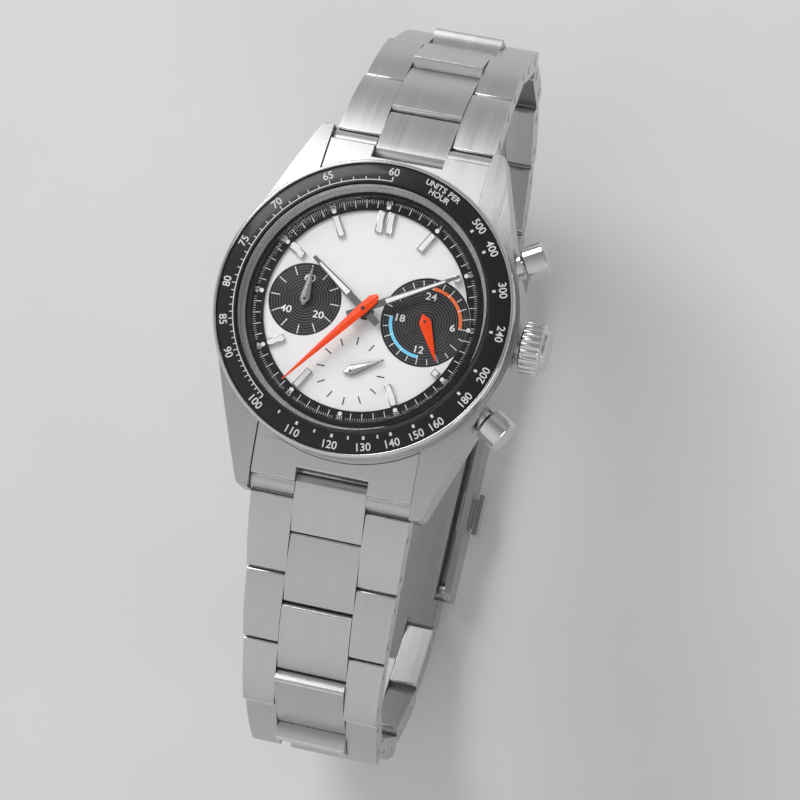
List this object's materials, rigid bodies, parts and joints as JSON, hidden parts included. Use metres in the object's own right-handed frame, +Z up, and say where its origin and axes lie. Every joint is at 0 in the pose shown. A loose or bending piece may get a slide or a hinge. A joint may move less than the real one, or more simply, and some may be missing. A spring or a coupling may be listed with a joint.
{
  "type": "chronograph wristwatch",
  "caption": "Chronograph wristwatch with sunk counters, tachymeter bezel, crown and pushers, on a three-piece link bracelet with a push-button folding clasp.",
  "frame": {"origin": "on the clasp cover's flat outer face, straight below the dial's centre", "axes": "+Z up out of the dial, +Y towards 12 o'clock, +X towards 3 o'clock and the crown"},
  "size_m": [0.0405, 0.0925, 0.0569],
  "materials": {
    "brushed_steel_case": "brushed",
    "polished_steel": "polished",
    "bracelet_steel": "brushed",
    "clasp_steel": "brushed",
    "blued_black_insert": "gloss",
    "sapphire": "clear",
    "black_rubber": "matt",
    "black_lacquer": "satin",
    "white_lacquer": "satin",
    "silver_marker": "polished",
    "orange_lacquer": "satin",
    "movement_plastic": "matt",
    "movement_brass": "satin",
    "copper_coil": "satin",
    "board_green": "matt",
    "bar_steel": "satin"
  },
  "bodies": {
    "head": {"case_middle": "brushed_steel_case", "case_back": "polished_steel", "case_back_gasket": "black_rubber", "bezel_ring": "polished_steel", "tachymeter_insert": "blued_black_insert", "crystal": "sapphire", "crystal_gasket": "black_rubber", "chapter_ring": "black_lacquer", "dial_plate": "white_lacquer", "minute_counter_disc": "black_lacquer", "day_counter_disc": "black_lacquer", "hour_markers": "silver_marker", "movement_ring": "movement_plastic", "main_plate": "movement_brass", "train_bridge": "bar_steel", "battery": "bar_steel", "coil": "copper_coil", "circuit_board": "board_green", "crown_tube": "polished_steel", "pusher_tubes": "polished_steel", "end_link_12": "bracelet_steel", "end_link_6": "bracelet_steel", "spring_bar_12_ends": "bar_steel", "spring_bar_6": "bar_steel", "start_pusher_spring": "bar_steel", "reset_pusher_spring": "bar_steel"},
    "hour_hand": {"hour_hand": "silver_marker"},
    "minute_hand": {"minute_hand": "silver_marker"},
    "chronograph_hand": {"chronograph_hand": "orange_lacquer"},
    "minute_counter_hand": {"minute_counter_hand": "silver_marker"},
    "day_hand": {"day_hand": "orange_lacquer"},
    "small_seconds_hand": {"small_seconds_hand": "silver_marker"},
    "crown_slide": {"setting_lever": "bar_steel"},
    "crown": {"crown": "polished_steel", "winding_stem": "bar_steel", "stem_gasket": "black_rubber"},
    "start_pusher": {"start_pusher": "polished_steel"},
    "reset_pusher": {"reset_pusher": "polished_steel"},
    "row_6_1": {"link_row_6_1": "bracelet_steel"},
    "row_6_2": {"link_row_6_2": "bracelet_steel"},
    "row_6_3": {"link_row_6_3": "bracelet_steel"},
    "row_6_4": {"link_row_6_4": "bracelet_steel"},
    "row_6_5": {"link_row_6_5": "bracelet_steel"},
    "row_6_6": {"link_row_6_6": "bracelet_steel"},
    "row_6_7": {"link_row_6_7": "bracelet_steel"},
    "inner_blade": {"clasp_inner_blade": "clasp_steel"},
    "middle_blade": {"clasp_middle_blade": "clasp_steel", "clasp_fold_pins": "bar_steel"},
    "cover": {"clasp_cover": "clasp_steel", "clasp_bar": "bar_steel"},
    "clasp_button_left": {"clasp_button_left": "clasp_steel"},
    "clasp_button_right": {"clasp_button_right": "clasp_steel"},
    "row_12_7": {"link_row_12_7": "bracelet_steel"},
    "row_12_6": {"link_row_12_6": "bracelet_steel"},
    "row_12_5": {"link_row_12_5": "bracelet_steel"},
    "row_12_4": {"link_row_12_4": "bracelet_steel"},
    "row_12_3": {"link_row_12_3": "bracelet_steel"},
    "row_12_2": {"link_row_12_2": "bracelet_steel"},
    "row_12_1": {"link_row_12_1": "bracelet_steel"}
  },
  "joints": [
    {"name": "hour_hand_turn", "type": "hinge", "parent": "head", "child": "hour_hand", "pos_m": [0, 0, 0.05352], "axis": [0, 0, -1], "continuous": true},
    {"name": "minute_hand_turn", "type": "hinge", "parent": "head", "child": "minute_hand", "pos_m": [0, 0, 0.05352], "axis": [0, 0, -1], "continuous": true},
    {"name": "chronograph_hand_turn", "type": "hinge", "parent": "head", "child": "chronograph_hand", "pos_m": [0, 0, 0.05352], "axis": [0, 0, -1], "continuous": true},
    {"name": "minute_counter_hand_turn", "type": "hinge", "parent": "head", "child": "minute_counter_hand", "pos_m": [-0.0074, 0, 0.05352], "axis": [0, 0, -1], "continuous": true},
    {"name": "day_hand_turn", "type": "hinge", "parent": "head", "child": "day_hand", "pos_m": [0.0074, 0, 0.05352], "axis": [0, 0, -1], "continuous": true},
    {"name": "small_seconds_hand_turn", "type": "hinge", "parent": "head", "child": "small_seconds_hand", "pos_m": [0, -0.0074, 0.05352], "axis": [0, 0, -1], "continuous": true},
    {"name": "crown_pull", "type": "slide", "parent": "head", "child": "crown_slide", "axis": [1, 0, 0], "range_m": [0, 0.0012]},
    {"name": "crown_turn", "type": "hinge", "parent": "crown_slide", "child": "crown", "pos_m": [0.01845, 0, 0.04982], "axis": [1, 0, 0], "continuous": true},
    {"name": "start_pusher_press", "type": "slide", "parent": "head", "child": "start_pusher", "axis": [-0.866, -0.5, 0], "range_m": [0, 0.0009], "stiffness_N_per_m": 1500, "springref_m": -0.001, "deforming": ["start_pusher_spring"]},
    {"name": "reset_pusher_press", "type": "slide", "parent": "head", "child": "reset_pusher", "axis": [-0.866, 0.5, 0], "range_m": [0, 0.0009], "stiffness_N_per_m": 1500, "springref_m": -0.001, "deforming": ["reset_pusher_spring"]},
    {"name": "hinge_6_1", "type": "hinge", "parent": "head", "child": "row_6_1", "pos_m": [0, -0.021, 0.04692], "axis": [-1, 0, 0], "range_deg": [0, 36]},
    {"name": "hinge_6_2", "type": "hinge", "parent": "row_6_1", "child": "row_6_2", "pos_m": [0, -0.02889, 0.04218], "axis": [-1, 0, 0], "range_deg": [0, 5]},
    {"name": "hinge_6_3", "type": "hinge", "parent": "row_6_2", "child": "row_6_3", "pos_m": [0, -0.03685, 0.03758], "axis": [-1, 0, 0], "range_deg": [0, 13]},
    {"name": "hinge_6_4", "type": "hinge", "parent": "row_6_3", "child": "row_6_4", "pos_m": [0, -0.0441, 0.03192], "axis": [-1, 0, 0], "range_deg": [0, 29]},
    {"name": "hinge_6_5", "type": "hinge", "parent": "row_6_4", "child": "row_6_5", "pos_m": [0, -0.04842, 0.02379], "axis": [-1, 0, 0], "range_deg": [0, 41]},
    {"name": "hinge_6_6", "type": "hinge", "parent": "row_6_5", "child": "row_6_6", "pos_m": [0, -0.04714, 0.01468], "axis": [-1, 0, 0], "range_deg": [0, 39]},
    {"name": "hinge_6_7", "type": "hinge", "parent": "row_6_6", "child": "row_6_7", "pos_m": [0, -0.04099, 0.00785], "axis": [-1, 0, 0], "range_deg": [0, 31]},
    {"name": "hinge_6_8", "type": "hinge", "parent": "row_6_7", "child": "inner_blade", "pos_m": [0, -0.03246, 0.0044], "axis": [-1, 0, 0], "range_deg": [0, 25]},
    {"name": "clasp_unfold", "type": "hinge", "parent": "inner_blade", "child": "middle_blade", "pos_m": [0, 0.01275, 0.0022], "axis": [1, 0, 0], "range_deg": [0, 165]},
    {"name": "clasp_cover_fold", "type": "hinge", "parent": "middle_blade", "child": "cover", "pos_m": [0, -0.02483, 0.00115], "axis": [-1, 0, 0], "range_deg": [0, 165]},
    {"name": "clasp_button_left_press", "type": "slide", "parent": "cover", "child": "clasp_button_left", "axis": [1, 0, 0], "range_m": [0, 0.0006], "stiffness_N_per_m": 1000, "springref_m": -0.0008},
    {"name": "clasp_button_right_press", "type": "slide", "parent": "cover", "child": "clasp_button_right", "axis": [-1, 0, 0], "range_m": [0, 0.0006], "stiffness_N_per_m": 1000, "springref_m": -0.0008},
    {"name": "hinge_12_8", "type": "hinge", "parent": "cover", "child": "row_12_7", "pos_m": [0, 0.01718, 0.003], "axis": [-1, 0, 0], "range_deg": [0, 33]},
    {"name": "hinge_12_7", "type": "hinge", "parent": "row_12_7", "child": "row_12_6", "pos_m": [0, 0.02534, 0.00725], "axis": [-1, 0, 0], "range_deg": [0, 9]},
    {"name": "hinge_12_6", "type": "hinge", "parent": "row_12_6", "child": "row_12_5", "pos_m": [0, 0.03314, 0.01212], "axis": [-1, 0, 0], "range_deg": [0, 23]},
    {"name": "hinge_12_5", "type": "hinge", "parent": "row_12_5", "child": "row_12_4", "pos_m": [0, 0.03905, 0.01917], "axis": [-1, 0, 0], "range_deg": [0, 37]},
    {"name": "hinge_12_4", "type": "hinge", "parent": "row_12_4", "child": "row_12_3", "pos_m": [0, 0.04033, 0.02828], "axis": [-1, 0, 0], "range_deg": [0, 41]},
    {"name": "hinge_12_3", "type": "hinge", "parent": "row_12_3", "child": "row_12_2", "pos_m": [0, 0.03602, 0.03641], "axis": [-1, 0, 0], "range_deg": [0, 27]},
    {"name": "hinge_12_2", "type": "hinge", "parent": "row_12_2", "child": "row_12_1", "pos_m": [0, 0.02897, 0.04232], "axis": [-1, 0, 0], "range_deg": [0, 15]}
  ],
  "couplings": [
    {"joint": "hour_hand_turn", "follows": "minute_hand_turn", "ratio": 0.083333},
    {"joint": "day_hand_turn", "follows": "minute_hand_turn", "ratio": 0.041667},
    {"joint": "small_seconds_hand_turn", "follows": "minute_hand_turn", "ratio": 60},
    {"joint": "minute_counter_hand_turn", "follows": "chronograph_hand_turn", "ratio": 0.016667},
    {"joint": "clasp_cover_fold", "follows": "clasp_unfold", "ratio": 1}
  ]
}
